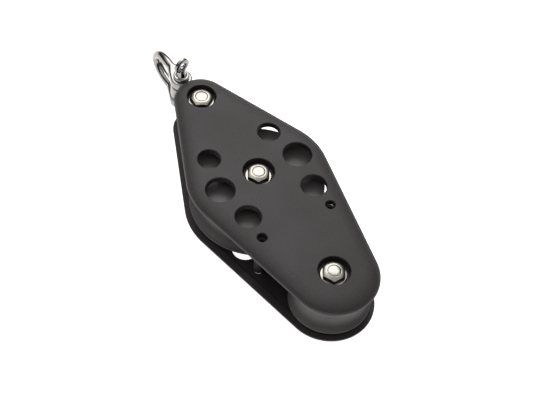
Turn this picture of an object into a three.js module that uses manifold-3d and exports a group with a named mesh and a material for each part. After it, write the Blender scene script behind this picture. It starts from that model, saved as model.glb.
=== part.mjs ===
// Double sheave block, in-line pattern: a large and a small sheave one behind the other between two
// rounded metal cheeks, with a swivel eye and a D shackle at the head.
// Units are millimetres. X runs across the cheeks, +Y points to the shackle and +Z is up, along the axles.
// Pieces are laid out from the main axle, at half the block's thickness. The last lines move the block so
// that the origin is under the middle of its bounding box, on the lower cheek's outer face.
import * as THREE from 'three';
import { mergeVertices } from 'three/addons/utils/BufferGeometryUtils.js';
import Module from 'manifold-3d';

const wasm = await Module();
wasm.setup();

// Axles, all on the centre line.
const HEAD_Y = 67.5;
const TAIL_Y = -82.5;

// Cheeks: outline radii round each axle, and the block's thickness.
const HEAD_RADIUS = 17.2;
const SHOULDER_RADIUS = 41.2;
const SHOULDER_X = 3.5;
const TAIL_RADIUS = 27.7;
const CHEEK_GAP = 27.4;
const CHEEK_THICK = 5.4;
const PLATE_THICK = 4.3;
const POCKET_INSET = 5;
const EDGE_LAND = 0.7;
const EDGE_WIDTH = 11;
const RECESS_DEPTH = 5.7;
const RECESS_RADIUS = 9.8;
const HEAD_RECESS_RADIUS = 9.25;
const BOSS_RADIUS = 13;
const BOSS_HEIGHT = 2.6;
const LIGHTENING_HOLES = [
  { x: 21.5, y: 22.6, radius: 7.1 },
  { x: 27.6, y: -0.6, radius: 9 },
  { x: 23.4, y: -25.5, radius: 8 },
];

// Tubes that hold the cheeks apart at the waist, each in line with a small hole in both cheeks.
const TIE = { x: 24.2, y: -42.3, hole: 3, bore: 1.8, radius: 3.3 };

// Axle bolts, M8 with low heads.
const BOLT_RADIUS = 4;
const BOLT_HOLE_RADIUS = 4.3;
const HEX_FLATS = 13;
const HEX_HEIGHT = 3.6;
const HEX_FACE_RADIUS = 4.5;
const HEX_DOME = [{ out: 2, drop: 0.45 }, { out: 4, drop: 1.7 }];
const WASHER_RADIUS = 8;
const WASHER_THICK = 1.6;

// Sheaves and what they run on.
const MAIN_SHEAVE_RADIUS = 41.3;
const MAIN_GROOVE_DEPTH = 7.3;
const SMALL_SHEAVE_RADIUS = 24.8;
const SMALL_GROOVE_DEPTH = 5.5;
const RIM_HALF = 10.6;
const RIM_LIP = 1.6;
const RIM_CHAMFER = 0.6;
const SHEAVE_DROP = 1.3;
const HUB_RECESS_RADIUS = 14;
const SLEEVE_RADIUS = 8;
const BUSH_RADIUS = 11;
const THRUST_RADIUS = 12.5;
const THRUST_THICK = 1;

// Head fitting: a bent strap, a swivel eye through it, and a shackle.
const STRAP_THICK = 2.5;
const STRAP_HALF_WIDTH = 9;
const STRAP_END_Y = 83.7;
const STRAP_BEND = 4.5;
const SPACER_RADIUS = 6.2;
const PIN_Y = 92.2;
const PIN_RADIUS = 3;
const PIN_HOLE_RADIUS = 3.3;
const SWIVEL_SHANK_RADIUS = 4;
const SWIVEL_EYE_RADIUS = 6.6;
const SWIVEL_EYE_HALF = 5.5;
const SWIVEL_COLLAR_RADIUS = 5.6;
const SWIVEL_WASHER_THICK = 0.8;
const SWIVEL_NUT_HEIGHT = 4.4;
const BAR_RADIUS = 3;
const LEG_OFFSET = 9;
const EAR_RADIUS = 7;
const FLARE_LENGTH = 12.5;
const BOW_START_Y = 108.5;
const BOW_LENGTH = 14.5;
const COLLAR_RADIUS = 5.2;
const COLLAR_THICK = 2.2;
const RING_RADIUS = 5.5;
const RING_HOLE_RADIUS = 2.3;
const RING_HALF = 1.3;
const RING_HEIGHT = 23;
const RING_TURN = THREE.MathUtils.degToRad(9);
const PIN_END_PAST_EAR = 2;
const FORGED_CHAMFER = 0.7;

// Clearances between pieces that bear on each other, and between pieces that turn.
const SEAT = 0.1;
const RUN = 0.2;

// Sides of a small round piece, the overlap of solids that are joined, and a length past any piece.
const SMALL_SIDES = 24;
const OVERLAP = 1;
const LONG = 200;

// Heights worked out from the values above, measured from half the block's thickness.
const CHEEK_INNER = CHEEK_GAP / 2;
const CHEEK_OUTER = CHEEK_INNER + CHEEK_THICK;
const POCKET_CEILING = CHEEK_OUTER - PLATE_THICK;
const BOSS_FACE = CHEEK_INNER - BOSS_HEIGHT;
const RECESS_FLOOR = CHEEK_OUTER - RECESS_DEPTH;
const WASHER_TOP = RECESS_FLOOR + SEAT + WASHER_THICK;
const HEX_BASE = WASHER_TOP + SEAT;
const HEX_TOP = HEX_BASE + HEX_HEIGHT;
const SLEEVE_HALF = BOSS_FACE - SEAT;
const HUB_HALF = SLEEVE_HALF - THRUST_THICK - SEAT - SHEAVE_DROP;
const STRAP_OUTER = BOSS_FACE - SEAT;
const STRAP_INNER = STRAP_OUTER - STRAP_THICK;
const EAR_OUTER = LEG_OFFSET + BAR_RADIUS;

const AXLES = [
  { name: 'head', y: HEAD_Y, recess: HEAD_RECESS_RADIUS, hexTurn: 30.6 },
  { name: 'main', y: 0, recess: RECESS_RADIUS, hexTurn: 57.6 },
  { name: 'tail', y: TAIL_Y, recess: RECESS_RADIUS, hexTurn: 57.6 },
];

const FINISHES = {
  anodised: { color: 0x454344, roughness: 0.62, metalness: 0.35 },
  acetal: { color: 0x343233, roughness: 0.45, metalness: 0 },
  bearing: { color: 0xd8d4c8, roughness: 0.5, metalness: 0 },
  stainless: { color: 0xc9c7c2, roughness: 0.18, metalness: 1 },
};

const assembly = new THREE.Group();

// Adds one named piece to the block.
function addPiece(name, finish, geometry) {
  const piece = new THREE.Mesh(geometry, new THREE.MeshStandardMaterial(FINISHES[finish]));
  piece.name = name;
  assembly.add(piece);
  return piece;
}

// Solid from a closed geometry, with its shared corners merged so that it can be joined and cut.
function solidOf(geometry) {
  const bare = geometry.clone();
  bare.deleteAttribute('normal');
  bare.deleteAttribute('uv');
  const merged = mergeVertices(bare, 1e-4);
  return new wasm.Manifold(new wasm.Mesh({
    numProp: 3,
    vertProperties: new Float32Array(merged.attributes.position.array),
    triVerts: new Uint32Array(merged.index.array),
  }));
}

function geometryOf(solid) {
  const { vertProperties, triVerts } = solid.getMesh();
  const geometry = new THREE.BufferGeometry();
  geometry.setAttribute('position', new THREE.BufferAttribute(vertProperties, 3));
  geometry.setIndex(new THREE.BufferAttribute(triVerts, 1));
  geometry.computeVertexNormals();
  return geometry;
}

// Round bar along Z between two heights.
function bar(radius, low, high, sides = SMALL_SIDES) {
  const geometry = new THREE.CylinderGeometry(radius, radius, high - low, sides);
  geometry.rotateX(Math.PI / 2);
  geometry.translate(0, 0, (low + high) / 2);
  return geometry;
}

// Turned piece from a closed profile of [radius, height] points, anticlockwise, with the axis along Z.
function turned(profile, sides = SMALL_SIDES) {
  const closed = [...profile, profile[0]].map(([radius, height]) => new THREE.Vector2(radius, height));
  const geometry = new THREE.LatheGeometry(closed, sides);
  geometry.rotateX(Math.PI / 2);
  return geometry;
}

// Plain ring with a rectangular section.
function ring(inner, outer, low, high, sides = SMALL_SIDES) {
  return turned([[inner, low], [outer, low], [outer, high], [inner, high]], sides);
}

// Cheek outline, drawn in by a distance: arcs round the head, the shoulders and the tail, and their
// common tangents, which the shape joins with straight lines.
function cheekOutline(drawnIn) {
  const head = HEAD_RADIUS - drawnIn;
  const shoulder = SHOULDER_RADIUS - drawnIn;
  const tail = TAIL_RADIUS - drawnIn;
  const headSpan = Math.hypot(SHOULDER_X, HEAD_Y);
  const tailSpan = Math.hypot(SHOULDER_X, TAIL_Y);
  const headAngle = Math.atan2(SHOULDER_X, HEAD_Y) + Math.asin((shoulder - head) / headSpan);
  const tailAngle = -Math.atan2(SHOULDER_X, -TAIL_Y) - Math.asin((shoulder - tail) / tailSpan);
  const outline = new THREE.Shape();
  outline.absarc(0, TAIL_Y, tail, Math.PI - tailAngle, tailAngle + 2 * Math.PI, false);
  outline.absarc(SHOULDER_X, 0, shoulder, tailAngle, headAngle, false);
  outline.absarc(0, HEAD_Y, head, headAngle, Math.PI - headAngle, false);
  outline.absarc(-SHOULDER_X, 0, shoulder, Math.PI - headAngle, Math.PI - tailAngle, false);
  return outline;
}

// One cheek with its outer face up: a plate whose border rounds over to a thin land at the edge, with a
// shallow pocket inside, a boss round each axle, a recess for each bolt's hex, and the holes.
function cheekGeometry() {
  const roundOver = CHEEK_THICK - EDGE_LAND;
  const plate = new THREE.ExtrudeGeometry(cheekOutline(EDGE_WIDTH), {
    depth: roundOver,
    curveSegments: 5,
    bevelThickness: roundOver,
    bevelSize: EDGE_WIDTH,
    bevelSegments: 3,
  });
  plate.translate(0, 0, CHEEK_OUTER - 2 * roundOver);
  const keep = new THREE.BoxGeometry(LONG, 2 * LONG, LONG);
  keep.translate(0, 0, CHEEK_INNER + LONG / 2);
  const pocket = new THREE.ExtrudeGeometry(cheekOutline(POCKET_INSET), {
    depth: POCKET_CEILING,
    curveSegments: 5,
    bevelEnabled: false,
  });
  let cheek = solidOf(plate).intersect(solidOf(keep)).subtract(solidOf(pocket));
  for (const axle of AXLES) {
    const boss = bar(BOSS_RADIUS, BOSS_FACE, POCKET_CEILING + OVERLAP);
    cheek = cheek.add(solidOf(boss.translate(0, axle.y, 0)));
    cheek = cheek.subtract(solidOf(bar(axle.recess, RECESS_FLOOR, LONG).translate(0, axle.y, 0)));
    cheek = cheek.subtract(solidOf(bar(BOLT_HOLE_RADIUS, 0, LONG).translate(0, axle.y, 0)));
  }
  for (const hole of [...LIGHTENING_HOLES, { x: TIE.x, y: TIE.y, radius: TIE.hole }]) {
    for (const side of [-1, 1]) {
      const cutter = bar(hole.radius, 0, LONG);
      cheek = cheek.subtract(solidOf(cutter.translate(side * hole.x, hole.y, 0)));
    }
  }
  return geometryOf(cheek);
}

function addCheeks() {
  const geometry = cheekGeometry();
  addPiece('cheek_upper', 'anodised', geometry);
  addPiece('cheek_lower', 'anodised', geometry.clone()).rotation.y = Math.PI;
  const tieHalf = POCKET_CEILING - SEAT;
  for (const [name, side] of [['tie_tube_left', -1], ['tie_tube_right', 1]]) {
    const tube = addPiece(name, 'anodised', ring(TIE.bore, TIE.radius, -tieHalf, tieHalf));
    tube.position.set(side * TIE.x, TIE.y, 0);
  }
}

// Hex prism with a low dome on its outer side, which is up: a flat round face, then two slopes.
function hexPrism(low, turn) {
  const corner = HEX_FLATS / Math.sqrt(3);
  const top = low + HEX_HEIGHT;
  const prism = bar(corner, low, top, 6);
  prism.rotateZ(Math.PI / 2 + THREE.MathUtils.degToRad(turn));
  const slopes = HEX_DOME.map(({ out, drop }) => [HEX_FACE_RADIUS + out, top - drop]);
  const widest = HEX_FACE_RADIUS + HEX_DOME[HEX_DOME.length - 1].out;
  const dome = turned([
    [0, low - OVERLAP],
    [widest, low - OVERLAP],
    ...slopes.reverse(),
    [HEX_FACE_RADIUS, top],
    [0, top],
  ]);
  return solidOf(prism).intersect(solidOf(dome));
}

// Bolts come up through the lower cheek, with a washer under each head and under each nut.
function addAxleBolts() {
  for (const axle of AXLES) {
    const shank = solidOf(bar(BOLT_RADIUS, -HEX_BASE - SEAT, HEX_TOP));
    const head = hexPrism(HEX_BASE, axle.hexTurn).rotate([180, 0, 0]);
    const nutBore = solidOf(bar(BOLT_RADIUS + RUN, 0, LONG));
    const washer = ring(BOLT_RADIUS + RUN, WASHER_RADIUS, RECESS_FLOOR + SEAT, WASHER_TOP);
    const pieces = {
      bolt: geometryOf(shank.add(head)),
      nut: geometryOf(hexPrism(HEX_BASE, axle.hexTurn).subtract(nutBore)),
      nut_washer: washer,
      bolt_washer: washer.clone().rotateY(Math.PI),
    };
    for (const [kind, geometry] of Object.entries(pieces)) {
      addPiece(`${axle.name}_${kind}`, 'stainless', geometry).position.y = axle.y;
    }
  }
}

// Sheave with a round rope groove and a hub recess on each side that clears the cheek's boss.
function sheaveGeometry(radius, grooveDepth, sides) {
  const grooveSteps = 6;
  const half = RIM_HALF - RIM_LIP;
  const grooveRadius = (half * half + grooveDepth * grooveDepth) / (2 * grooveDepth);
  const grooveCentre = radius - grooveDepth + grooveRadius;
  const sweep = Math.asin(half / grooveRadius);
  const groove = [];
  for (let step = 0; step <= grooveSteps; step += 1) {
    const angle = sweep * (2 * step / grooveSteps - 1);
    groove.push([grooveCentre - grooveRadius * Math.cos(angle), grooveRadius * Math.sin(angle)]);
  }
  return turned([
    [BUSH_RADIUS + SEAT, -HUB_HALF],
    [HUB_RECESS_RADIUS, -HUB_HALF],
    [HUB_RECESS_RADIUS, -RIM_HALF],
    [radius - RIM_CHAMFER, -RIM_HALF],
    [radius, RIM_CHAMFER - RIM_HALF],
    ...groove,
    [radius, RIM_HALF - RIM_CHAMFER],
    [radius - RIM_CHAMFER, RIM_HALF],
    [HUB_RECESS_RADIUS, RIM_HALF],
    [HUB_RECESS_RADIUS, HUB_HALF],
    [BUSH_RADIUS + SEAT, HUB_HALF],
  ], sides);
}

// A sheave turns on a plain bush over a fixed sleeve, between two thrust washers. The upper washer is
// the thicker one, which sets the sheave a little below half the block's thickness.
function addSheave(name, y, radius, grooveDepth, sides) {
  const thrust = (low, high) => ring(SLEEVE_RADIUS + RUN, THRUST_RADIUS, low, high);
  const pieces = [
    ['sheave', 'acetal', -SHEAVE_DROP, sheaveGeometry(radius, grooveDepth, sides)],
    ['bush', 'bearing', -SHEAVE_DROP, ring(SLEEVE_RADIUS + RUN, BUSH_RADIUS, -HUB_HALF, HUB_HALF)],
    ['sleeve', 'stainless', 0, ring(BOLT_RADIUS + RUN, SLEEVE_RADIUS, -SLEEVE_HALF, SLEEVE_HALF)],
    ['thrust_washer_upper', 'bearing', 0, thrust(HUB_HALF - SHEAVE_DROP + SEAT, SLEEVE_HALF)],
    ['thrust_washer_lower', 'bearing', 0, thrust(-SLEEVE_HALF, THRUST_THICK - SLEEVE_HALF)],
  ];
  for (const [kind, finish, z, geometry] of pieces) {
    addPiece(`${name}_${kind}`, finish, geometry).position.set(0, y, z);
  }
}

// Stainless strap bent into a U: an arm under each cheek, held by the head bolt, and a bridge that the
// swivel's shank goes through.
function headStrapGeometry() {
  const bendSide = (outline, half, end, bend) => {
    outline.lineTo(end - bend, -half);
    outline.absarc(end - bend, bend - half, bend, -Math.PI / 2, 0, false);
    outline.absarc(end - bend, half - bend, bend, 0, Math.PI / 2, false);
  };
  const start = HEAD_Y - STRAP_HALF_WIDTH - OVERLAP;
  const outer = new THREE.Shape();
  outer.moveTo(start, -STRAP_OUTER);
  bendSide(outer, STRAP_OUTER, STRAP_END_Y, STRAP_BEND);
  outer.lineTo(start, STRAP_OUTER);
  const inner = new THREE.Shape();
  inner.moveTo(start - OVERLAP, -STRAP_INNER);
  bendSide(inner, STRAP_INNER, STRAP_END_Y - STRAP_THICK, STRAP_BEND - STRAP_THICK);
  inner.lineTo(start - OVERLAP, STRAP_INNER);
  const side = (shape, width) => {
    const slab = new THREE.ExtrudeGeometry(shape, { depth: width, bevelEnabled: false, curveSegments: 3 });
    slab.translate(0, 0, -width / 2);
    slab.rotateY(Math.PI / 2);
    slab.rotateX(Math.PI / 2);
    return solidOf(slab);
  };
  const plan = solidOf(bar(STRAP_HALF_WIDTH, -LONG, LONG, 32).translate(0, HEAD_Y, 0));
  const reach = STRAP_END_Y - HEAD_Y;
  const length = new THREE.BoxGeometry(2 * STRAP_HALF_WIDTH, reach, LONG);
  const planOutline = plan.add(solidOf(length.translate(0, HEAD_Y + reach / 2, 0)));
  const bolt = solidOf(bar(BOLT_HOLE_RADIUS, -LONG, LONG).translate(0, HEAD_Y, 0));
  const shank = solidOf(bar(SWIVEL_SHANK_RADIUS + RUN, 0, LONG).rotateX(-Math.PI / 2));
  const bent = side(outer, 3 * STRAP_HALF_WIDTH).subtract(side(inner, 4 * STRAP_HALF_WIDTH));
  return geometryOf(bent.intersect(planOutline).subtract(bolt).subtract(shank));
}

function addHeadFitting() {
  const spacer = ring(BOLT_RADIUS + RUN, SPACER_RADIUS, -STRAP_INNER + SEAT, STRAP_INNER - SEAT);
  addPiece('head_spacer', 'stainless', spacer).position.y = HEAD_Y;
  addPiece('head_strap', 'stainless', headStrapGeometry());
  const inside = STRAP_END_Y - STRAP_THICK - SEAT;
  const outside = STRAP_END_Y + SEAT;
  const washer = (low, high) => {
    return ring(SWIVEL_SHANK_RADIUS + RUN, SWIVEL_COLLAR_RADIUS, low, high).rotateX(-Math.PI / 2);
  };
  addPiece('swivel_washer_inner', 'bearing', washer(inside - SWIVEL_WASHER_THICK, inside));
  addPiece('swivel_washer_outer', 'bearing', washer(outside, outside + SWIVEL_WASHER_THICK));
  const nutTop = inside - SWIVEL_WASHER_THICK - SEAT;
  const nut = bar(HEX_FLATS / Math.sqrt(3), nutTop - SWIVEL_NUT_HEIGHT, nutTop, 6).rotateX(-Math.PI / 2);
  const shank = (radius, top) => {
    return solidOf(bar(radius, nutTop - SWIVEL_NUT_HEIGHT, top).rotateX(-Math.PI / 2));
  };
  const nutSolid = solidOf(nut).subtract(shank(SWIVEL_SHANK_RADIUS + SEAT, LONG));
  addPiece('swivel_nut', 'stainless', geometryOf(nutSolid));
  const collarLow = outside + SWIVEL_WASHER_THICK + SEAT;
  const collar = bar(SWIVEL_COLLAR_RADIUS, collarLow, PIN_Y - PIN_HOLE_RADIUS).rotateX(-Math.PI / 2);
  const eye = bar(SWIVEL_EYE_RADIUS, -SWIVEL_EYE_HALF, SWIVEL_EYE_HALF, 32).translate(0, PIN_Y, 0);
  const eyeHole = bar(PIN_HOLE_RADIUS, -LONG, LONG).translate(0, PIN_Y, 0);
  const collarSolid = solidOf(collar).add(shank(SWIVEL_SHANK_RADIUS, PIN_Y - PIN_HOLE_RADIUS));
  const swivel = collarSolid.add(solidOf(eye)).subtract(solidOf(eyeHole));
  addPiece('swivel_eye', 'stainless', geometryOf(swivel));
}

// Ear at one end of the bow: a round pad that runs out in tangents to the bar's width.
function earGeometry() {
  const spread = Math.asin((EAR_RADIUS - BAR_RADIUS) / FLARE_LENGTH);
  const outline = new THREE.Shape();
  outline.absarc(0, 0, EAR_RADIUS, Math.PI - spread, 2 * Math.PI + spread, false);
  outline.absarc(0, FLARE_LENGTH, BAR_RADIUS, spread, Math.PI - spread, false);
  const depth = 2 * (BAR_RADIUS - FORGED_CHAMFER);
  const ear = new THREE.ExtrudeGeometry(outline, {
    depth,
    curveSegments: 5,
    bevelThickness: FORGED_CHAMFER,
    bevelSize: FORGED_CHAMFER,
    bevelOffset: -FORGED_CHAMFER,
    bevelSegments: 1,
  });
  return ear.translate(0, PIN_Y, -depth / 2);
}

// Shackle bow: one round bar bent into a long, half-oval loop, with a flat ear at each end.
function bowGeometry() {
  const path = new THREE.CurvePath();
  const corner = (y, z) => new THREE.Vector3(0, y, z);
  const foot = PIN_Y + FLARE_LENGTH / 2;
  path.add(new THREE.LineCurve3(corner(foot, LEG_OFFSET), corner(BOW_START_Y, LEG_OFFSET)));
  const halfOval = [];
  const stations = 12;
  for (let step = 0; step <= stations; step += 1) {
    const angle = Math.PI * step / stations;
    const y = BOW_START_Y + BOW_LENGTH * Math.sin(angle);
    halfOval.push(corner(y, LEG_OFFSET * Math.cos(angle)));
  }
  path.add(new THREE.CatmullRomCurve3(halfOval));
  path.add(new THREE.LineCurve3(corner(BOW_START_Y, -LEG_OFFSET), corner(foot, -LEG_OFFSET)));
  const section = new THREE.Shape();
  section.absarc(0, 0, BAR_RADIUS, 0, 2 * Math.PI, false);
  const loop = new THREE.ExtrudeGeometry(section, { extrudePath: path, steps: 24, curveSegments: 5 });
  let bow = solidOf(loop);
  for (const side of [-1, 1]) {
    bow = bow.add(solidOf(earGeometry().translate(0, 0, side * LEG_OFFSET)));
  }
  const hole = bar(PIN_HOLE_RADIUS, -LONG, LONG).translate(0, PIN_Y, 0);
  return geometryOf(bow.subtract(solidOf(hole)));
}

// Shackle pin: screwed shank, round collar on the upper ear, and a flat ring to turn it by.
function pinGeometry() {
  const collarLow = EAR_OUTER + SEAT;
  const collarTop = collarLow + COLLAR_THICK;
  const neckTop = RING_HEIGHT - (RING_RADIUS + RING_HOLE_RADIUS) / 2;
  const tip = -EAR_OUTER - PIN_END_PAST_EAR;
  const shank = turned([
    [0, tip],
    [PIN_RADIUS - FORGED_CHAMFER, tip],
    [PIN_RADIUS, tip + FORGED_CHAMFER],
    [PIN_RADIUS, collarLow],
    [COLLAR_RADIUS, collarLow],
    [COLLAR_RADIUS, collarTop - FORGED_CHAMFER],
    [COLLAR_RADIUS - FORGED_CHAMFER, collarTop],
    [PIN_RADIUS, collarTop],
    [PIN_RADIUS, neckTop],
    [0, neckTop],
  ]);
  const disc = bar(RING_RADIUS, -RING_HALF, RING_HALF).rotateX(Math.PI / 2).translate(0, 0, RING_HEIGHT);
  const hole = bar(RING_HOLE_RADIUS, -LONG, LONG, 20).rotateX(Math.PI / 2).translate(0, 0, RING_HEIGHT);
  return geometryOf(solidOf(shank).add(solidOf(disc)).subtract(solidOf(hole)));
}

function addShackle() {
  addPiece('shackle_bow', 'stainless', bowGeometry());
  const pin = addPiece('shackle_pin', 'stainless', pinGeometry());
  pin.position.y = PIN_Y;
  pin.rotation.z = RING_TURN;
}

addCheeks();
addAxleBolts();
addSheave('main', 0, MAIN_SHEAVE_RADIUS, MAIN_GROOVE_DEPTH, 60);
addSheave('small', TAIL_Y, SMALL_SHEAVE_RADIUS, SMALL_GROOVE_DEPTH, 44);
addHeadFitting();
addShackle();

const shackleEnd = BOW_START_Y + BOW_LENGTH + BAR_RADIUS;
const tailEnd = TAIL_Y - TAIL_RADIUS;
const block = new THREE.Group();
assembly.position.set(0, -(shackleEnd + tailEnd) / 2, CHEEK_OUTER);
block.add(assembly);

export default block;
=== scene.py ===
# %% [markdown]
# # A double sheave block
#
# The object is a pulley block with two sheaves one behind the other between two dark cheek plates.
# A swivel eye and a D shackle sit at its head, and everything hangs on three M8 bolts.
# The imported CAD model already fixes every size, place and joint, so this notebook only makes the looks:
# finer meshes that stand for the CAD nodes, and a material for each real finish.
#
# Blender works in metres. The shapes below are written in millimetres, which is how a maker would
# measure them, and one constant turns them into metres.

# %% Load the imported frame
import math

import bmesh
import bpy
from mathutils import Matrix, Vector


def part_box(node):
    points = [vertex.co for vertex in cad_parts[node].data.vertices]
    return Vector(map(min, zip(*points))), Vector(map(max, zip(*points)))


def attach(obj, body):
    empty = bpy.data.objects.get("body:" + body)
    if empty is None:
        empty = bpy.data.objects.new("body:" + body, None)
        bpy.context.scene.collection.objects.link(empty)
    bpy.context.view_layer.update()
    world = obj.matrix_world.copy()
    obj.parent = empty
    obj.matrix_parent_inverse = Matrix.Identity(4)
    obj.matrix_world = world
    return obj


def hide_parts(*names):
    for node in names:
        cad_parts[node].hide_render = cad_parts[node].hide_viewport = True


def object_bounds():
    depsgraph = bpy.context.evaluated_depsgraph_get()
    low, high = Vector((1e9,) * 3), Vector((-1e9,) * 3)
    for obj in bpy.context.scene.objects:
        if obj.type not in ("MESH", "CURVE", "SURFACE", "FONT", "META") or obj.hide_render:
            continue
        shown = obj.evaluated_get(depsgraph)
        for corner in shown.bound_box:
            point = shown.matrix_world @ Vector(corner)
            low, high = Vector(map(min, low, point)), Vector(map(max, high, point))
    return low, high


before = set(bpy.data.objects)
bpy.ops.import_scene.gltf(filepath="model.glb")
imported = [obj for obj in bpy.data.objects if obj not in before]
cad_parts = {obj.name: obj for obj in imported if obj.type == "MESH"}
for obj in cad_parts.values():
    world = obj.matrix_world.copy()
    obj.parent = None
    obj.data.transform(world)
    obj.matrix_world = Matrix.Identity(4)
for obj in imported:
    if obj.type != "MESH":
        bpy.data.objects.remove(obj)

MM = 0.001
cad_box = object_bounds()
print("CAD box in metres:", [[round(x, 4) for x in corner] for corner in cad_box])


# %% Find the axles
def middle(node):
    low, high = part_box(node)
    return (low + high) / 2


head_axle = middle("head_spacer")
main_axle = middle("main_sleeve")
tail_axle = middle("small_sleeve")
pin_axle = middle("swivel_eye")
pin_axle.y = middle("shackle_pin").y
AXLES = {"head": head_axle, "main": main_axle, "tail": tail_axle}
HEAD_Y = (head_axle.y - main_axle.y) / MM
TAIL_Y = (tail_axle.y - main_axle.y) / MM
PIN_Y = (pin_axle.y - main_axle.y) / MM
CHEEK_OUTER = (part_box("cheek_upper")[1].z - main_axle.z) / MM
print(f"head {HEAD_Y:.1f}, tail {TAIL_Y:.1f} and pin {PIN_Y:.1f} mm from the main axle")

# %% [markdown]
# ## Camera
#
# The camera is set by what a photographer would note down: the way it faces, how far it looks down,
# how much it is rolled, the distance to the cheek's face, and the lens.

# %% Camera
camera = bpy.data.objects.new("camera", bpy.data.cameras.new("camera"))
bpy.context.scene.collection.objects.link(camera)
bpy.context.scene.camera = camera
camera.data.lens = 99.25
camera.data.clip_start = 0.01
facing = math.radians(38.125)
look_down = math.radians(53.878)
roll = math.radians(7.035)
distance = 0.8924
ahead = Vector((
    math.sin(facing) * math.cos(look_down),
    math.cos(facing) * math.cos(look_down),
    -math.sin(look_down),
))
aim = main_axle + Vector((-5.17, -21.91, CHEEK_OUTER)) * MM
camera.location = aim - ahead * distance
camera.rotation_mode = "QUATERNION"
turn = ahead.to_track_quat("-Z", "Y").to_matrix() @ Matrix.Rotation(roll, 3, "Z")
camera.rotation_quaternion = turn.to_quaternion()
print("camera at", [round(x, 3) for x in camera.location])

# %% [markdown]
# ## Materials
#
# Every colour is written as an sRGB hex value, as a paint or anodising chart gives it. Blender's
# shaders want linear light, so one function converts them. One small helper adds a node, sets its
# properties and fills its inputs with numbers or with links from other nodes.


# %% Colour and node helpers
NOISE_LOW, NOISE_HIGH = 0.3, 0.7  # nearly all of a noise texture lies between these


def linear(hex_colour):
    channels = [int(hex_colour[i:i + 2], 16) / 255 for i in (1, 3, 5)]
    toe, power = 0.04045, 2.4
    light = [c / 12.92 if c <= toe else ((c + 0.055) / 1.055) ** power for c in channels]
    return (*light, 1.0)


def add_node(tree, kind, settings=None, inputs=None):
    node = tree.nodes.new(kind)
    for name, value in (settings or {}).items():
        setattr(node, name, value)
    for name, value in (inputs or {}).items():
        if isinstance(value, bpy.types.NodeSocket):
            tree.links.new(value, node.inputs[name])
        else:
            node.inputs[name].default_value = value
    return node


def new_material(name):
    material = bpy.data.materials.new(name)
    material.use_nodes = True
    tree = material.node_tree
    return material, tree, tree.nodes["Principled BSDF"]


# %% [markdown]
# ### Hard anodised aluminium, blasted
#
# The cheeks are pressed aluminium plates that were bead blasted and then hard anodised dark grey.
# Blasting leaves pits about a quarter of a millimetre across, drawn here about three times coarser so
# that they can be seen. They break up every reflection, so the plate looks soft and matte. The oxide
# is a clear, hard skin on metal, so it is only partly metallic. The dye takes a little unevenly, which
# shows as faint clouds a few centimetres wide.


# %% Hard anodised aluminium
def anodised_aluminium():
    material, tree, shader = new_material("hard_anodised_aluminium_blasted")
    place = add_node(tree, "ShaderNodeTexCoord").outputs["Object"]
    clouds = add_node(tree, "ShaderNodeTexNoise", inputs={
        "Vector": place, "Scale": 1 / (30 * MM), "Detail": 3.0, "Roughness": 0.5})
    grit = add_node(tree, "ShaderNodeTexNoise", inputs={
        "Vector": place, "Scale": 1 / (0.8 * MM), "Detail": 3.0, "Roughness": 0.6})
    tone = add_node(tree, "ShaderNodeMix", {"data_type": "RGBA"}, {
        "Factor": clouds.outputs["Fac"], "A": linear("#2a2526"), "B": linear("#322b2c")})
    speckle = add_node(tree, "ShaderNodeMapRange", inputs={
        "Value": grit.outputs["Fac"], "From Min": NOISE_LOW, "From Max": NOISE_HIGH,
        "To Min": 0.7, "To Max": 1.32})
    colour = add_node(tree, "ShaderNodeVectorMath", {"operation": "SCALE"}, {
        0: tone.outputs["Result"], "Scale": speckle.outputs["Result"]})
    tree.links.new(colour.outputs["Vector"], shader.inputs["Base Color"])
    rough = add_node(tree, "ShaderNodeMapRange", inputs={
        "Value": clouds.outputs["Fac"], "From Min": NOISE_LOW, "From Max": NOISE_HIGH,
        "To Min": 0.52, "To Max": 0.6})
    tree.links.new(rough.outputs["Result"], shader.inputs["Roughness"])
    pits = add_node(tree, "ShaderNodeBump", inputs={
        "Strength": 0.35, "Distance": 0.05 * MM, "Height": grit.outputs["Fac"]})
    tree.links.new(pits.outputs["Normal"], shader.inputs["Normal"])
    shader.inputs["Metallic"].default_value = 0.15
    return material


cheek_metal = anodised_aluminium()
print("made", cheek_metal.name)

# %% [markdown]
# ### Moulded acetal
#
# The sheaves are injection moulded in dark grey acetal and skimmed on a lathe. Acetal is a smooth, waxy
# plastic with a soft sheen, and the lathe leaves rings under half a millimetre apart round the axle.
# The pattern is worked out from the distance to the axle, so the rings stay round on any sheave.


# %% Moulded acetal
ACETAL_IOR = 1.48


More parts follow.
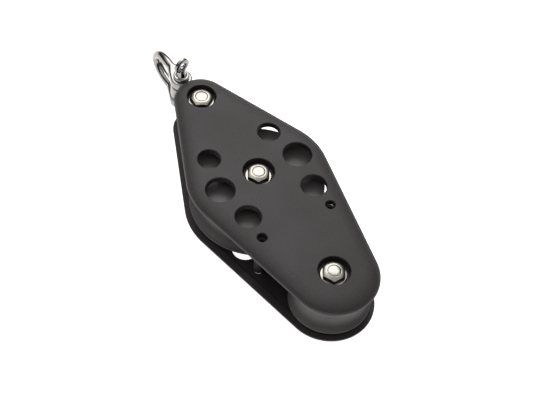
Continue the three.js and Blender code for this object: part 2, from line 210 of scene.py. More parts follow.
def turned_acetal():
    material, tree, shader = new_material("grey_acetal_turned")
    place = add_node(tree, "ShaderNodeTexCoord").outputs["Object"]
    flat = add_node(tree, "ShaderNodeVectorMath", {"operation": "MULTIPLY"}, {
        0: place, 1: (1.0, 1.0, 0.0)})
    radius = add_node(tree, "ShaderNodeVectorMath", {"operation": "LENGTH"}, {0: flat.outputs["Vector"]})
    rings = add_node(tree, "ShaderNodeTexNoise", {"noise_dimensions": "1D"}, {
        "W": radius.outputs["Value"], "Scale": 1 / (0.4 * MM), "Detail": 3.0})
    mottle = add_node(tree, "ShaderNodeTexNoise", inputs={
        "Vector": place, "Scale": 1 / (6 * MM), "Detail": 4.0})
    tone = add_node(tree, "ShaderNodeMix", {"data_type": "RGBA"}, {
        "Factor": mottle.outputs["Fac"], "A": linear("#454141"), "B": linear("#524d4d")})
    tree.links.new(tone.outputs["Result"], shader.inputs["Base Color"])
    rough = add_node(tree, "ShaderNodeMapRange", inputs={
        "Value": rings.outputs["Fac"], "From Min": NOISE_LOW, "From Max": NOISE_HIGH,
        "To Min": 0.38, "To Max": 0.5})
    tree.links.new(rough.outputs["Result"], shader.inputs["Roughness"])
    grooves = add_node(tree, "ShaderNodeBump", inputs={
        "Strength": 0.25, "Distance": 0.03 * MM, "Height": rings.outputs["Fac"]})
    tree.links.new(grooves.outputs["Normal"], shader.inputs["Normal"])
    shader.inputs["IOR"].default_value = ACETAL_IOR
    return material


sheave_acetal = turned_acetal()
print("made", sheave_acetal.name)

# %% [markdown]
# ### Polished and machined stainless steel
#
# The shackle, pin and swivel are forged 316 stainless, electropolished until they mirror the room, with
# a faint waviness that the forging leaves. The nuts, bolts and washers are machined from bar and only
# tumbled, so very fine scratches blur their reflections. Stainless is a little warm beside chrome. Both
# tones are darker than clean stainless: they were set for this studio's light.


# %% Stainless steel
def stainless_steel(name, tint, roughness, wave_mm, wave_depth):
    material, tree, shader = new_material(name)
    place = add_node(tree, "ShaderNodeTexCoord").outputs["Object"]
    wave = add_node(tree, "ShaderNodeTexNoise", inputs={
        "Vector": place, "Scale": 1 / (wave_mm * MM), "Detail": 2.0})
    fine = add_node(tree, "ShaderNodeTexNoise", inputs={
        "Vector": place, "Scale": 1 / (0.5 * MM), "Detail": 3.0})
    rough = add_node(tree, "ShaderNodeMapRange", inputs={
        "Value": fine.outputs["Fac"], "From Min": NOISE_LOW, "From Max": NOISE_HIGH,
        "To Min": 0.75 * roughness, "To Max": 1.3 * roughness})
    tree.links.new(rough.outputs["Result"], shader.inputs["Roughness"])
    bump = add_node(tree, "ShaderNodeBump", inputs={
        "Strength": 0.5, "Distance": wave_depth * MM, "Height": wave.outputs["Fac"]})
    tree.links.new(bump.outputs["Normal"], shader.inputs["Normal"])
    shader.inputs["Base Color"].default_value = linear(tint)
    shader.inputs["Metallic"].default_value = 1.0
    return material


forged_steel = stainless_steel("stainless_316_electropolished", "#8a8885", 0.09, 3.0, 0.06)
machined_steel = stainless_steel("stainless_a4_tumbled", "#918d86", 0.21, 1.2, 0.03)
print("made", forged_steel.name, "and", machined_steel.name)

# %% [markdown]
# ### Bearing plastic
#
# The bushes and thrust washers are natural, undyed acetal, an ivory plastic that lets a little light in.
# They are all but hidden between the sheaves and the cheeks.


# %% Bearing plastic
def natural_acetal():
    material, tree, shader = new_material("natural_acetal_machined")
    place = add_node(tree, "ShaderNodeTexCoord").outputs["Object"]
    mottle = add_node(tree, "ShaderNodeTexNoise", inputs={
        "Vector": place, "Scale": 1 / (4 * MM), "Detail": 3.0})
    tone = add_node(tree, "ShaderNodeMix", {"data_type": "RGBA"}, {
        "Factor": mottle.outputs["Fac"], "A": linear("#d9d3c2"), "B": linear("#e6e1d3")})
    tree.links.new(tone.outputs["Result"], shader.inputs["Base Color"])
    shader.inputs["Roughness"].default_value = 0.42
    shader.inputs["IOR"].default_value = ACETAL_IOR
    return material


bearing_acetal = natural_acetal()
print("made", bearing_acetal.name)

# %% [markdown]
# ## Mesh helpers
#
# Nearly every piece here was turned, pressed or bent from bar, so three helpers make them all: one joins
# rings of points into a skin, one rounds the corners of a drawn profile, and one spins a profile round
# an axle. Real edges are never razor sharp, and a small radius is what catches the light.


# %% Rings, rounded corners and turned shapes
# A turned solid keeps a bore of this radius on its axis. Remeshing fills it, but the cheek's cutters,
# which are hollow in the same way, each leave a hair-thin column of plate standing in the hole.
ON_AXIS = 0.01
HOLE_STEPS, RECESS_STEPS = 64, 96


def skin(mesh, rings, closed_strip=False):
    """Joins rings of equal length with quads, and the last to the first where the strip is closed."""
    made = [[mesh.verts.new(point) for point in ring] for ring in rings]
    pairs = list(zip(made, made[1:]))
    if closed_strip:
        pairs.append((made[-1], made[0]))
    for low, high in pairs:
        for i in range(len(low)):
            j = (i + 1) % len(low)
            mesh.faces.new((low[i], low[j], high[j], high[i]))
    return made


def rounded(corners, steps=5):
    """Closed outline of (x, y, radius) corners, with an arc in place of each corner that has a radius."""
    points = []
    for i, (x, y, radius) in enumerate(corners):
        here = Vector((x, y))
        if not radius:
            points.append(here)
            continue
        before = (Vector(corners[i - 1][:2]) - here).normalized()
        after = (Vector(corners[(i + 1) % len(corners)][:2]) - here).normalized()
        half = before.angle(after) / 2
        centre = here + (before + after).normalized() * radius / math.sin(half)
        start = here + before * radius / math.tan(half) - centre
        sweep = start.angle_signed(here + after * radius / math.tan(half) - centre)
        for step in range(steps + 1):
            spun = Matrix.Rotation(-sweep * step / steps, 2) @ start
            points.append(centre + spun)
    return points


def circle(radius, height, steps):
    angles = [2 * math.pi * i / steps for i in range(steps)]
    return [Vector((radius * math.cos(a), radius * math.sin(a), height)) for a in angles]


def turned(profile, steps):
    """Spins a closed profile of (radius, height) points round Z."""
    mesh = bmesh.new()
    skin(mesh, [circle(r, z, steps) for r, z in profile], closed_strip=True)
    return mesh


# %% [markdown]
# A finished mesh goes into the scene through one function. It shades the mesh smooth except across real
# edges and on faces that lie quite flat, gives it its material, hangs it on the CAD body it moves with,
# and hides the CAD nodes it stands for.


# %% Put a finished piece in the scene
SHARP = math.radians(35)
FLAT = 0.99999


def place_piece(name, mesh, origin, body, material, stands_for):
    """Mesh corners are in millimetres from origin, which is in metres."""
    bmesh.ops.scale(mesh, vec=(MM, MM, MM), verts=mesh.verts)
    bmesh.ops.recalc_face_normals(mesh, faces=mesh.faces)
    data = bpy.data.meshes.new(name)
    mesh.to_mesh(data)
    mesh.free()
    data.polygons.foreach_set("use_smooth", [abs(face.normal.z) < FLAT for face in data.polygons])
    data.set_sharp_from_angle(angle=SHARP)
    data.materials.append(material)
    piece = bpy.data.objects.new(name, data)
    piece.location = origin
    bpy.context.scene.collection.objects.link(piece)
    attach(piece, body)
    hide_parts(*stands_for)
    print(f"{name}: {len(data.polygons)} faces")
    return piece


# %% [markdown]
# ### Bent and forged pieces
#
# The head strap, the shackle bow and its ears are bar or plate that changes section along its length.
# A loft suits them: a section is drawn at each station along the piece, and the stations are joined.
# The section is a superellipse, which is a circle at power 2 and nearly a rectangle at power 8, so a
# round bar can flow into a flat ear.


# %% Loft along a bar
def section(centre, across, outward, half_width, half_thick, power, points=40):
    ring = []
    for i in range(points):
        angle = 2 * math.pi * (i + 0.5) / points
        c, s = math.cos(angle), math.sin(angle)
        x = math.copysign(abs(c) ** (2 / power), c) * half_width
        z = math.copysign(abs(s) ** (2 / power), s) * half_thick
        ring.append(centre + across * x + outward * z)
    return ring


def lofted(sections):
    mesh = bmesh.new()
    rings = skin(mesh, sections)
    for ring in (rings[0], rings[-1]):
        mesh.faces.new(ring)
    return mesh


def ease(value, start, end):
    t = min(1.0, max(0.0, (value - start) / (end - start)))
    return t * t * (3 - 2 * t)


# %% [markdown]
# Holes are cut with a boolean, by a cutter with flared ends that also breaks the hole's edges. The
# bodies that were forged in one piece are joined, remeshed in small voxels and smoothed, which gives
# the soft fillet where a neck runs into an eye.


# %% Cut and blend
def as_object(mesh):
    data = bpy.data.meshes.new("work")
    mesh.to_mesh(data)
    mesh.free()
    made = bpy.data.objects.new("work", data)
    bpy.context.scene.collection.objects.link(made)
    return made


def applied(target, *helpers):
    """Bmesh of target with its modifiers applied. The objects used on the way are removed."""
    bpy.context.view_layer.update()
    shown = target.evaluated_get(bpy.context.evaluated_depsgraph_get())
    mesh = bmesh.new()
    mesh.from_mesh(shown.to_mesh())
    for used in (target, *helpers):
        bpy.data.objects.remove(used)
    return mesh


def cutter(radius, half, edge, axis="Z"):
    """Bar that flares by edge at its two ends, at plus and minus half, and runs on past them."""
    profile = [
        (radius + edge + 2, half + 2),
        (radius, half - edge),
        (radius, -half + edge),
        (radius + edge + 2, -half - 2),
    ]
    mesh = bmesh.new()
    rings = skin(mesh, [circle(r, z, HOLE_STEPS) for r, z in profile])
    for ring in (rings[0], rings[-1]):
        mesh.faces.new(ring)
    bmesh.ops.recalc_face_normals(mesh, faces=mesh.faces)
    if axis == "Y":
        mesh.transform(Matrix.Rotation(math.pi / 2, 4, "X"))
    return mesh


def combine(mesh, others, operation):
    """Joins or cuts mesh with each of others, in order."""
    for other in others:
        bmesh.ops.recalc_face_normals(mesh, faces=mesh.faces)
        bmesh.ops.recalc_face_normals(other, faces=other.faces)
        base, tool = as_object(mesh), as_object(other)
        modifier = base.modifiers.new("combine", "BOOLEAN")
        modifier.operation = operation
        modifier.solver = "EXACT"
        modifier.object = tool
        mesh = applied(base, tool)
    return mesh


def forged(mesh, voxel, smoothing):
    """Remeshes a joined body in voxels of that many millimetres, and smooths its inside corners."""
    base = as_object(mesh)
    remesh = base.modifiers.new("remesh", "REMESH")
    remesh.mode = "VOXEL"
    remesh.voxel_size = voxel
    smooth = base.modifiers.new("smooth", "SMOOTH")
    smooth.factor = 0.5
    smooth.iterations = smoothing
    return applied(base)


# %% [markdown]
# ## Cheeks
#
# A cheek is a thin plate whose outer border is pressed over in a soft quarter oval, so a line or a hand
# meets no edge. That leaves a shallow pocket inside. Its outline is arcs round the head, the shoulders
# and the tail, joined by their common tangents. Drawing all arcs in by the same distance keeps the
# tangents parallel, so the border is a stack of outlines, each drawn in a little more. The border is
# wide enough to run into some of the holes, so the bosses round the bolts are joined on first, and the
# holes and recesses are cut last, with flared cutters that chamfer every rim.

# %% Cheek sizes
HEAD_RADIUS, SHOULDER_RADIUS, TAIL_RADIUS = 17.2, 41.2, 27.7
SHOULDER_X = 3.5
CHEEK_THICK, PLATE_THICK = 5.4, 4.3
CHEEK_INNER = CHEEK_OUTER - CHEEK_THICK
PLATE_INNER = CHEEK_OUTER - PLATE_THICK
POCKET_DRAWN_IN = 5.0
BORDER_WIDTH = 11.0
BORDER_LAND = 0.7
INNER_CHAMFER = 0.3
RIM_CHAMFER = 0.45
BOSS_RADIUS, BOSS_HEIGHT = 13.0, 2.6
BOSS_FACE = CHEEK_INNER - BOSS_HEIGHT
RECESS_DEPTH = 5.7
RECESS_FLOOR = CHEEK_OUTER - RECESS_DEPTH
PAST = 1.0  # how far a cutter or a joined body runs past the face it meets
BOLT_HOLE = 4.3
RECESS_RADII = {HEAD_Y: 9.25, 0.0: 9.8, TAIL_Y: 9.8}
HOLES = [(21.5, 22.6, 7.1), (27.6, -0.6, 9.0), (23.4, -25.5, 8.0), (24.2, -42.3, 3.0)]


# %% Cheek outline
def cheek_outline(drawn_in, height):
    head, shoulder, tail = (r - drawn_in for r in (HEAD_RADIUS, SHOULDER_RADIUS, TAIL_RADIUS))
    to_head, to_tail = math.hypot(SHOULDER_X, HEAD_Y), math.hypot(SHOULDER_X, TAIL_Y)
    up = math.atan2(SHOULDER_X, HEAD_Y) + math.asin((shoulder - head) / to_head)
    down = -math.atan2(SHOULDER_X, -TAIL_Y) - math.asin((shoulder - tail) / to_tail)
    arcs = [
        (0, TAIL_Y, tail, math.pi - down, 2 * math.pi + down, 56),
        (SHOULDER_X, 0, shoulder, down, up, 28),
        (0, HEAD_Y, head, up, math.pi - up, 44),
        (-SHOULDER_X, 0, shoulder, math.pi - up, math.pi - down, 28),
    ]
    points = []
    for x, y, radius, start, end, steps in arcs:
        for step in range(steps + 1):
            angle = start + (end - start) * step / steps
            points.append(Vector((x + radius * math.cos(angle), y + radius * math.sin(angle), height)))
    return points


# %% Cheek mesh
def cheek_border():
    """Outlines from the pocket's ceiling round the land and over the border to the outer face."""
    pocket_bend = 0.8
    border = []
    bend_steps = 4
    for step in range(bend_steps + 1):
        angle = math.pi / 2 * step / bend_steps
        drawn_in = POCKET_DRAWN_IN + pocket_bend * (1 - math.sin(angle))
        border.append(cheek_outline(drawn_in, PLATE_INNER - pocket_bend * (1 - math.cos(angle))))
    border.append(cheek_outline(POCKET_DRAWN_IN, CHEEK_INNER + INNER_CHAMFER))
    border.append(cheek_outline(POCKET_DRAWN_IN - INNER_CHAMFER, CHEEK_INNER))
    border.append(cheek_outline(INNER_CHAMFER, CHEEK_INNER))
    border.append(cheek_outline(0, CHEEK_INNER + INNER_CHAMFER))
    rise = CHEEK_THICK - BORDER_LAND
    oval_steps = 14
    for step in range(oval_steps + 1):
        angle = math.pi / 2 * step / oval_steps
        drawn_in = BORDER_WIDTH * (1 - math.cos(angle))
        border.append(cheek_outline(drawn_in, CHEEK_OUTER - rise + rise * math.sin(angle)))
    return border


def cheek_mesh():
    """One cheek with its outer face up, in millimetres from the main axle at half the block's thickness."""
    mesh = bmesh.new()
    rings = skin(mesh, cheek_border())
    for ring in (rings[0], rings[-1]):
        edges = [mesh.edges.get(pair) for pair in zip(ring, ring[1:] + ring[:1])]
        bmesh.ops.triangle_fill(mesh, use_beauty=True, edges=edges)
    bosses, openings = [], []
    for x, y, radius in HOLES:
        for side in (-1, 1):
            opening = turned([
                (ON_AXIS, PLATE_INNER - PAST), (radius + INNER_CHAMFER + PAST, PLATE_INNER - PAST),
                (radius, PLATE_INNER + INNER_CHAMFER), (radius, CHEEK_OUTER - RIM_CHAMFER),
                (radius + RIM_CHAMFER + PAST, CHEEK_OUTER + PAST), (ON_AXIS, CHEEK_OUTER + PAST),
            ], HOLE_STEPS)
            opening.transform(Matrix.Translation((side * x, y, 0)))
            openings.append(opening)
    for y, radius in RECESS_RADII.items():
        boss = turned(rounded([
            (BOLT_HOLE / 2, BOSS_FACE, 0), (BOSS_RADIUS, BOSS_FACE, 0.5),
            (BOSS_RADIUS, PLATE_INNER + PAST, 0), (BOLT_HOLE / 2, PLATE_INNER + PAST, 0),
        ]), RECESS_STEPS)
        recess = turned(rounded([
            (ON_AXIS, BOSS_FACE - PAST, 0), (BOLT_HOLE + PAST + INNER_CHAMFER, BOSS_FACE - PAST, 0),
            (BOLT_HOLE, BOSS_FACE + INNER_CHAMFER, 0), (BOLT_HOLE, RECESS_FLOOR, 0),
            (radius, RECESS_FLOOR, 0.4), (radius, CHEEK_OUTER - INNER_CHAMFER, 0),
            (radius + PAST + INNER_CHAMFER, CHEEK_OUTER + PAST, 0), (ON_AXIS, CHEEK_OUTER + PAST, 0),
        ]), RECESS_STEPS)
        for tool in (boss, recess):
            tool.transform(Matrix.Translation((0, y, 0)))
        bosses.append(boss)
        openings.append(recess)
    return combine(combine(mesh, bosses, "UNION"), openings, "DIFFERENCE")


# %% Place both cheeks
for side, flip in (("upper", 1), ("lower", -1)):
    plate = cheek_mesh()
    bmesh.ops.scale(plate, vec=(1, 1, flip), verts=plate.verts)
    place_piece(f"{side}_cheek_plate", plate, main_axle, "block_frame",
                cheek_metal, [f"cheek_{side}"])

# %% [markdown]
# ## Sheaves
#
# A sheave is a wheel with a round groove for the line. Both are drawn as half a section and spun round
# the axle. The lips each side of the groove are rounded, because a sharp lip would cut the line. The
# hub is set back on each side to clear the boss inside each cheek.

# %% Sheave sizes
RIM_HALF = 10.6
LIP = 1.6
LIP_RADIUS = 1.0
HUB_RECESS = 14.0
HUB_HALF = 8.6
BORE = 11.05


# %% Sheave mesh
def sheave_mesh(radius, groove_depth, steps):
    half = RIM_HALF - LIP
    groove_radius = (half ** 2 + groove_depth ** 2) / (2 * groove_depth)
    groove_centre = radius - groove_depth + groove_radius
    sweep = math.asin(half / groove_radius)
    groove_steps = 24
    groove = []
    for step in range(1, groove_steps):
        angle = sweep * (2 * step / groove_steps - 1)
        groove.append((groove_centre - groove_radius * math.cos(angle), groove_radius * math.sin(angle), 0))
    side = [
        (BORE, -HUB_HALF, 0.3),
        (HUB_RECESS, -HUB_HALF, 0.4),
        (HUB_RECESS, -RIM_HALF, 0.5),
        (radius, -RIM_HALF, LIP_RADIUS),
        (radius, -half, 0.4),
    ]
    other = [(r, -z, bend) for r, z, bend in reversed(side)]
    return turned(rounded(side + groove + other), steps)


# %% Place both sheaves
for size, name, radius, groove_depth, steps in (
    ("main", "large", 41.3, 7.3, 192),
    ("small", "small", 24.8, 5.5, 144),
):
    place_piece(f"{name}_sheave_wheel", sheave_mesh(radius, groove_depth, steps), middle(f"{size}_sheave"),
                f"{size}_sheave_set", sheave_acetal, [f"{size}_sheave"])

# %% [markdown]
# ## Bearings
#
# Each sheave turns on a bush over a steel sleeve, between two thrust washers. They are plain rings with
# broken edges, so one function makes them all from the size of the CAD node each stands for. It makes
# the tubes that hold the cheeks apart at the head and at the waist too.


# %% Bearing rings
OVER_SLEEVE = 8.2
TIE_BORE = 1.8


def ring_mesh(bore, outer, half, edge):
    profile = [(bore, -half, edge), (outer, -half, edge), (outer, half, edge), (bore, half, edge)]
    return turned(rounded(profile, 3), 72)


def place_ring(name, node, bore, edge, body, material):
    low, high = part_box(node)
    outer = (high.x - low.x) / 2 / MM
    half = (high.z - low.z) / 2 / MM
    ring = ring_mesh(bore, outer, half, edge)
    place_piece(name, ring, (low + high) / 2, body, material, [node])


for size in ("main", "small"):
    place_ring(f"{size}_bearing_bush", f"{size}_bush", OVER_SLEEVE, 0.3, f"{size}_sheave_set",
               bearing_acetal)
    place_ring(f"{size}_axle_sleeve", f"{size}_sleeve", BOLT_HOLE, 0.3, "block_frame",
               machined_steel)
    for side in ("upper", "lower"):
        place_ring(f"{size}_thrust_ring_{side}", f"{size}_thrust_washer_{side}", OVER_SLEEVE, 0.2,
                   "block_frame", bearing_acetal)
place_ring("head_spacer_tube", "head_spacer", BOLT_HOLE, 0.4, "block_frame", machined_steel)
for side in ("left", "right"):
    place_ring(f"tie_tube_{side}_anodised", f"tie_tube_{side}", TIE_BORE, 0.3, "block_frame",
               cheek_metal)

# %% [markdown]
# ## Bolts, nuts and washers
#
# The axles are M8 bolts with low heads, and their nuts sit in the upper recesses. Both hexagons are
# turned to a low dome, so the flats end in curved edges and the reflection fades from the middle
# outwards. Every ring runs round the hexagon at the same angles as the circles inside it, so the flats,
# the dome and the bore are one skin.

# %% Hexagon sizes
FLATS = 13.0
HEX_HEIGHT = 3.6
BOLT_RADIUS = 4.0
THREAD_RADIUS = 3.8
WASHER_THICK = 1.6
SEAT = 0.1
HEX_BASE = RECESS_FLOOR + SEAT + WASHER_THICK + SEAT
HEX_TOP = HEX_BASE + HEX_HEIGHT
BEARING_FACE = 6.1
DOME_START = 3.9
DOME_RATE = 0.1
HEX_TURN = {"head": 30.6, "main": 57.6, "tail": 57.6}


# %% Hexagon rings
def hex_points():
    """Hexagon with slightly rounded corners and points along each flat, as (angle, radius) pairs."""
    corner = FLATS / math.sqrt(3)
    turns = [math.pi * i / 3 for i in range(6)]
    arc = rounded([(corner * math.cos(a), corner * math.sin(a), 0.35) for a in turns], 4)
    outline = []
    for here, after in zip(arc, arc[1:] + arc[:1]):
        parts = 10 if (after - here).length > 1 else 1
        outline += [here.lerp(after, part / parts) for part in range(parts)]
    return [(math.atan2(p.y, p.x), p.length) for p in outline]


def dome(radius):
    return HEX_TOP - DOME_RATE * max(0.0, radius - DOME_START) ** 2


def hex_ring(drawn_in=0.0, lowered=0.0, height=None):
    """Ring round the hexagon, at a height of its own or on the dome."""
    ring = []
    for angle, radius in hex_points():
        r = radius - drawn_in
        z = dome(r) - lowered if height is None else height
        ring.append(Vector((r * math.cos(angle), r * math.sin(angle), z)))
    return ring


def round_ring(radius, height):
    return [Vector((radius * math.cos(a), radius * math.sin(a), height)) for a, _ in hex_points()]


def hex_outside():
    """Rings from the bearing face out round the flats and in over the dome."""
    return [
        round_ring(BEARING_FACE, HEX_BASE),
        hex_ring(height=HEX_BASE + 0.25),
        hex_ring(lowered=0.2),
        hex_ring(drawn_in=0.06, lowered=0.06),
        hex_ring(drawn_in=0.2),
        *[round_ring(r, dome(r)) for r in (6.1, 5.7, 5.3, 4.9, 4.5, 4.2)],
    ]


# %% Nut and bolt meshes
def nut_mesh():
    mesh = bmesh.new()
    bore = THREAD_RADIUS + 0.12
    skin(mesh, [
        round_ring(bore, HEX_BASE + 0.5),
        round_ring(bore + 0.4, HEX_BASE),
        *hex_outside(),
        round_ring(bore + 0.12, HEX_TOP),
        round_ring(bore, HEX_TOP - 0.15),
    ], closed_strip=True)
    return mesh


def bolt_mesh():
    """Bolt with its head down and its slightly domed end in the nut."""
    mesh = bmesh.new()
    head = [[Vector((p.x, p.y, -p.z)) for p in ring] for ring in hex_outside()]
    rings = skin(mesh, [
        round_ring(1.0, HEX_TOP + 0.07),
        round_ring(2.4, HEX_TOP + 0.03),
        round_ring(THREAD_RADIUS - 0.35, HEX_TOP - 0.04),
        round_ring(THREAD_RADIUS - 0.12, HEX_TOP - 0.12),
        round_ring(THREAD_RADIUS, HEX_TOP - 0.35),
        round_ring(THREAD_RADIUS, HEX_BASE - 1),
        round_ring(BOLT_RADIUS, HEX_BASE - 1.3),
        round_ring(BOLT_RADIUS, -HEX_BASE + 0.3),
        round_ring(BOLT_RADIUS + 0.2, -HEX_BASE),
        *head,
        round_ring(1.0, -HEX_TOP),
    ])
    for ring in (rings[0], rings[-1]):
        mesh.faces.new(ring)
    return mesh


# %% Place the bolts, nuts and washers
for name, axle in AXLES.items():
    spin = Matrix.Rotation(math.radians(HEX_TURN[name]), 4, "Z")
    for kind, mesh in (("nut", nut_mesh()), ("bolt", bolt_mesh())):
        mesh.transform(spin)
        place_piece(f"{name}_axle_{kind}", mesh, axle, "block_frame",
                    machined_steel, [f"{name}_{kind}"])
    for kind in ("nut", "bolt"):
        place_ring(f"{name}_{kind}_washer_ring", f"{name}_{kind}_washer", BOLT_RADIUS + 0.2, 0.25,
                   "block_frame", machined_steel)

# %% [markdown]
# ## Head strap
#
# A stainless strap is bent into a U. Its arms lie inside the cheeks and are held by the head bolt, and
# the swivel's shank goes through its bridge. The strap is lofted along its bend line, narrow at first
# and widening round the bolt, so its ends are round.

# %% Head strap sizes
SHANK_RADIUS = 4.0
SHANK_HOLE = SHANK_RADIUS + 0.2
STRAP_THICK = 2.5
STRAP_HALF_WIDTH = 9.0
STRAP_OUTER = BOSS_FACE - SEAT
STRAP_END_Y = (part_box("head_strap")[1].y - main_axle.y) / MM
STRAP_BEND = 4.5 - STRAP_THICK / 2


# %% Head strap mesh
def strap_mesh():
    middle_z = STRAP_OUTER - STRAP_THICK / 2
    bridge_y = STRAP_END_Y - STRAP_THICK / 2
    line = []
    round_steps = 16
    for step in range(1, round_steps + 1):
        angle = math.pi / 2 * step / round_steps
        y = HEAD_Y - STRAP_HALF_WIDTH * math.cos(angle)
        line.append((y, middle_z, 0.0, STRAP_HALF_WIDTH * math.sin(angle)))
    bend_steps = 12
    for step in range(bend_steps + 1):
        angle = math.pi / 2 * step / bend_steps
        y = bridge_y - STRAP_BEND + STRAP_BEND * math.sin(angle)
        z = middle_z - STRAP_BEND + STRAP_BEND * math.cos(angle)
        line.append((y, z, angle, STRAP_HALF_WIDTH))
    line += [(y, -z, math.pi - angle, width) for y, z, angle, width in reversed(line)]
    across = Vector((1, 0, 0))
    stations = [
        section(Vector((0, y, z)), across, Vector((0, math.sin(angle), math.cos(angle))),
                width, STRAP_THICK / 2, 9)
        for y, z, angle, width in line
    ]
    bolt_hole = cutter(BOLT_HOLE, STRAP_OUTER, 0.3)
    bolt_hole.transform(Matrix.Translation((0, HEAD_Y, 0)))
    shank_hole = cutter(SHANK_HOLE, STRAP_THICK / 2, 0.3, "Y")
    shank_hole.transform(Matrix.Translation((0, bridge_y, 0)))
    return combine(lofted(stations), [bolt_hole, shank_hole], "DIFFERENCE")


place_piece("head_strap_bent", strap_mesh(), main_axle, "block_frame",
            forged_steel, ["head_strap"])

# %% [markdown]
# ## Swivel
#
# The swivel is a forged eye on a collar and a shank. The shank passes through the strap's bridge with a
# bearing washer on each side, and a nut holds it inside. Eye, neck and collar are joined and remeshed,
# so that they flow into each other as a forging does.

# %% Swivel sizes
EYE_RADIUS, EYE_HALF, EYE_HOLE = 6.6, 5.5, 3.3
SWIVEL_WASHER_THICK = 0.8
COLLAR_LOW = STRAP_END_Y + SEAT + SWIVEL_WASHER_THICK + SEAT
COLLAR_RADIUS, COLLAR_THICK = 5.6, 1.6
NECK_WIDE, NECK_NARROW = 4.6, 4.4
SHANK_END = (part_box("swivel_eye")[0].y - main_axle.y) / MM


# %% Swivel mesh
def swivel_mesh():
    eye = turned(rounded([
        (ON_AXIS, -EYE_HALF, 0), (EYE_RADIUS, -EYE_HALF, 2.0),
        (EYE_RADIUS, EYE_HALF, 2.0), (ON_AXIS, EYE_HALF, 0),
    ], 6), 64)
    eye.transform(Matrix.Translation((0, PIN_Y, 0)))
    neck = turned(rounded([
        (ON_AXIS, -SHANK_END, 0), (ON_AXIS, -PIN_Y, 0), (NECK_WIDE, -PIN_Y, 0),
        (NECK_NARROW, -COLLAR_LOW - COLLAR_THICK, 0.8),
        (COLLAR_RADIUS, -COLLAR_LOW - COLLAR_THICK, 0.5), (COLLAR_RADIUS, -COLLAR_LOW, 0.4),
        (SHANK_RADIUS, -COLLAR_LOW, 0), (SHANK_RADIUS, -SHANK_END, 0.6),
    ], 6), 48)
    neck.transform(Matrix.Rotation(math.pi / 2, 4, "X"))
    joined = combine(eye, [neck], "UNION")
    hole = cutter(EYE_HOLE, EYE_HALF, 0.8)
    hole.transform(Matrix.Translation((0, PIN_Y, 0)))
    return forged(combine(joined, [hole], "DIFFERENCE"), 0.25, 6)


place_piece("swivel_forging", swivel_mesh(), main_axle, "swivel",
            forged_steel, ["swivel_eye"])

# %% Swivel nut and washers
for name in ("inner", "outer"):
    low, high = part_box(f"swivel_washer_{name}")
    ring = ring_mesh(SHANK_HOLE, COLLAR_RADIUS, (high.y - low.y) / 2 / MM, 0.15)
    ring.transform(Matrix.Rotation(math.pi / 2, 4, "X"))
    place_piece(f"swivel_bearing_ring_{name}", ring, (low + high) / 2, "block_frame",
                bearing_acetal, [f"swivel_washer_{name}"])

low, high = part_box("swivel_nut")
swivel_nut = nut_mesh()
swivel_nut.transform(Matrix.Translation((0, 0, -(HEX_BASE + HEX_TOP) / 2)))
swivel_nut.transform(Matrix.Diagonal((1, 1, (high.y - low.y) / MM / HEX_HEIGHT, 1)))
swivel_nut.transform(Matrix.Rotation(math.pi / 2, 4, "X") @ Matrix.Rotation(math.pi / 6, 4, "Z"))
place_piece("swivel_shank_nut", swivel_nut, (low + high) / 2, "swivel",
            machined_steel, ["swivel_nut"])

# %% [markdown]
# ## Shackle bow
#
# The bow is a 6 mm round bar bent into a long half oval, with its ends forged flat into ears for the
# pin. The loft starts at the tip of one ear, follows its round edge, runs out into the bar, goes round
# the bow and comes back to the other ear.

# %% Shackle sizes
BAR_RADIUS = 3.0
LEG_OFFSET = 9.0
EAR_RADIUS = 7.0
FLARE = 12.5
BOW_START_Y = 108.5
BOW_LENGTH = 14.5


# %% Shackle bow mesh
def ear_half_width(along):
    """Half the ear's width at a distance along the bar from the pin."""
    spread = math.asin((EAR_RADIUS - BAR_RADIUS) / FLARE)
    touch = EAR_RADIUS * math.sin(spread)
    if along <= touch:
        return math.sqrt(max(0.0, EAR_RADIUS ** 2 - along ** 2))
    straight = EAR_RADIUS / math.cos(spread) - along * math.tan(spread)
    return max(BAR_RADIUS, straight)


def bow_mesh():
    across, up = Vector((1, 0, 0)), Vector((0, 0, 1))
    leg = []
    ear_steps = 20
    spots = [-EAR_RADIUS * math.cos(math.pi / 2 * step / ear_steps) for step in range(1, ear_steps)]
    leg_end = BOW_START_Y - PIN_Y
    leg_steps = 30
    spots += [leg_end * step / leg_steps for step in range(leg_steps)]
    for along in spots:
        width = ear_half_width(along)
        tip = ease(along, -EAR_RADIUS, -EAR_RADIUS + 0.9)
        thick = BAR_RADIUS * (0.8 + 0.2 * math.sqrt(tip))
        power = 7 - 5 * ease(along, 3.0, FLARE + 1.5)
        centre = Vector((0, PIN_Y + along, LEG_OFFSET))
        leg.append(section(centre, across, up, width, thick, power))
    oval = []
    oval_steps = 40
    for step in range(oval_steps + 1):
        angle = math.pi * step / oval_steps
        y = BOW_START_Y + BOW_LENGTH * math.sin(angle)
        outward = Vector((0, math.sin(angle) / BOW_LENGTH, math.cos(angle) / LEG_OFFSET)).normalized()
        centre = Vector((0, y, LEG_OFFSET * math.cos(angle)))
        oval.append(section(centre, across, outward, BAR_RADIUS, BAR_RADIUS, 2))
    back = [[Vector((p.x, p.y, -p.z)) for p in ring] for ring in reversed(leg)]
    hole = cutter(EYE_HOLE, LEG_OFFSET + BAR_RADIUS, 0.4)
    hole.transform(Matrix.Translation((0, PIN_Y, 0)))
    return combine(lofted(leg + oval + back), [hole], "DIFFERENCE")


place_piece("shackle_bow_forged", bow_mesh(), main_axle, "shackle",
            forged_steel, ["shackle_bow"])

# %% [markdown]
# ## Shackle pin
#
# The pin is screwed through both ears. A collar stops it on the upper ear, and above the collar it is
# forged into a flat ring, which takes a tommy bar to turn it and a wire to lock it. Shank, collar and
# ring are joined and remeshed, and the last turns of thread show past the lower ear.

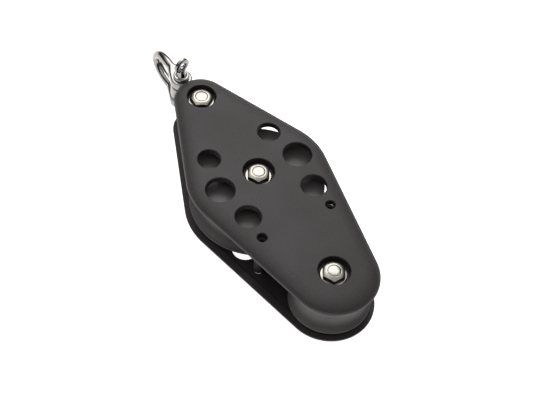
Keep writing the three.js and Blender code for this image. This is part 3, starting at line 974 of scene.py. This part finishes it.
# %% Shackle pin sizes
PIN_RADIUS = 3.0
COLLAR_TOP = 14.3
PIN_COLLAR_RADIUS = 5.2
EAR_OUTER = LEG_OFFSET + BAR_RADIUS + SEAT
RING_RADIUS, RING_HOLE, RING_HALF = 5.5, 2.3, 1.3
RING_HEIGHT = 23.0
RING_TURN = math.radians(9)
PIN_TIP = -14.0
THREAD_PITCH, THREAD_DEPTH, THREAD_TURNS = 1.0, 0.45, 7
NECK_FOOT, NECK_TOP, NECK_END = 3.3, 2.7, 2.6
NECK_STOP = RING_HEIGHT - RING_HOLE - 0.6


# %% Shackle pin mesh
def pin_mesh():
    thread = []
    for turn_number in range(THREAD_TURNS):
        z = PIN_TIP + 0.8 + turn_number * THREAD_PITCH
        thread += [(PIN_RADIUS, z, 0), (PIN_RADIUS - THREAD_DEPTH, z + THREAD_PITCH / 2, 0)]
    shank = turned(rounded([
        (ON_AXIS, PIN_TIP, 0), (PIN_RADIUS - 0.7, PIN_TIP, 0), *thread,
        (PIN_RADIUS, PIN_TIP + 1 + THREAD_TURNS * THREAD_PITCH, 0),
        (PIN_RADIUS, EAR_OUTER, 0), (PIN_COLLAR_RADIUS, EAR_OUTER, 0.5),
        (PIN_COLLAR_RADIUS, COLLAR_TOP, 0.9), (NECK_FOOT, COLLAR_TOP, 0.8),
        (NECK_TOP, RING_HEIGHT - RING_RADIUS, 0), (NECK_END, NECK_STOP, 0.3),
        (ON_AXIS, NECK_STOP, 0),
    ], 5), 64)
    ring = turned(rounded([
        (RING_HOLE, -RING_HALF, 0.8), (RING_RADIUS, -RING_HALF, 1.0),
        (RING_RADIUS, RING_HALF, 1.0), (RING_HOLE, RING_HALF, 0.8),
    ], 5), 64)
    ring.transform(Matrix.Translation((0, 0, RING_HEIGHT)) @ Matrix.Rotation(math.pi / 2, 4, "X"))
    joined = forged(combine(shank, [ring], "UNION"), 0.2, 3)
    joined.transform(Matrix.Rotation(RING_TURN, 4, "Z"))
    return joined


place_piece("shackle_screw_pin", pin_mesh(), pin_axle, "pin",
            forged_steel, ["shackle_pin"])

# %% [markdown]
# ## Floor and light
#
# The block lies on a sheet of opal acrylic that is lit from below, as on a product table. It stays
# white right up to the block, and shows white through the holes. Polished steel and matte oxide both
# show whatever stands round them. So the walls are dark and the ceiling pale, a large soft panel with a
# hot centre stands beyond the head, and a weak panel low on the near side fills the gap between the
# cheeks. The flat faces mirror the hot panel and look grey, and the rounded borders turn away from it
# towards the dark walls. The steel shows the panel as white bands and the walls as black ones.

# %% Floor
FLOOR_HALF = 3.0
FLOOR_GAP = 0.2 * MM  # keeps the floor out of the plane of the lower cheek's face
floor_mesh = bmesh.new()
floor_level = cad_box[0].z - FLOOR_GAP
corners = [(-1, -1), (1, -1), (1, 1), (-1, 1)]
floor_mesh.faces.new([
    floor_mesh.verts.new((x * FLOOR_HALF, y * FLOOR_HALF, floor_level)) for x, y in corners])
floor_data = bpy.data.meshes.new("floor")
floor_mesh.to_mesh(floor_data)
floor_mesh.free()
floor = bpy.data.objects.new("floor", floor_data)
bpy.context.scene.collection.objects.link(floor)
opal_acrylic, _, floor_shader = new_material("opal_acrylic_lit_from_below")
floor_shader.inputs["Base Color"].default_value = linear("#f2f2f2")
floor_shader.inputs["Roughness"].default_value = 0.9
floor_shader.inputs["Specular IOR Level"].default_value = 0.1
floor_shader.inputs["Emission Color"].default_value = linear("#ffffff")
floor_shader.inputs["Emission Strength"].default_value = 0.95
floor_data.materials.append(opal_acrylic)

# %% Room light
world = bpy.data.worlds.new("studio")
bpy.context.scene.world = world
world.use_nodes = True
room = world.node_tree
room_place = add_node(room, "ShaderNodeTexCoord").outputs["Generated"]
height = add_node(room, "ShaderNodeSeparateXYZ", inputs={"Vector": room_place})
walls = add_node(room, "ShaderNodeValToRGB", inputs={"Fac": height.outputs["Z"]})
stops = walls.color_ramp.elements
stops[0].position, stops[0].color = 0.06, linear("#ebebeb")
stops[1].position, stops[1].color = 0.80, linear("#f2f2f2")
for position, tone in [(0.18, "#454545"), (0.68, "#505050")]:
    stops.new(position).color = linear(tone)
background = room.nodes["Background"]
room.links.new(walls.outputs["Color"], background.inputs["Color"])


# %% Soft lamps
def softbox(name, place, aim_at, size, watts):
    lamp = bpy.data.lights.new(name, "AREA")
    lamp.size = size
    lamp.energy = watts
    holder = bpy.data.objects.new(name, lamp)
    bpy.context.scene.collection.objects.link(holder)
    holder.location = place
    holder.rotation_mode = "QUATERNION"
    holder.rotation_quaternion = (aim_at - place).to_track_quat("-Z", "Y")


panel_way = Vector((ahead.x, ahead.y, -ahead.z))
panel_place = main_axle + panel_way * 0.75 + Vector((0, 0.1, 0))
softbox("panel_beyond_head", panel_place, main_axle, 0.95, 1.3)
softbox("panel_hot_centre", panel_place - panel_way * 0.02, main_axle, 0.5, 2.4)
fill_way = Vector((-ahead.x, 0.35, -ahead.z))
softbox("fill_near_side", main_axle + fill_way * 0.9, main_axle, 0.8, 1.2)
bpy.context.scene.view_settings.view_transform = "Standard"
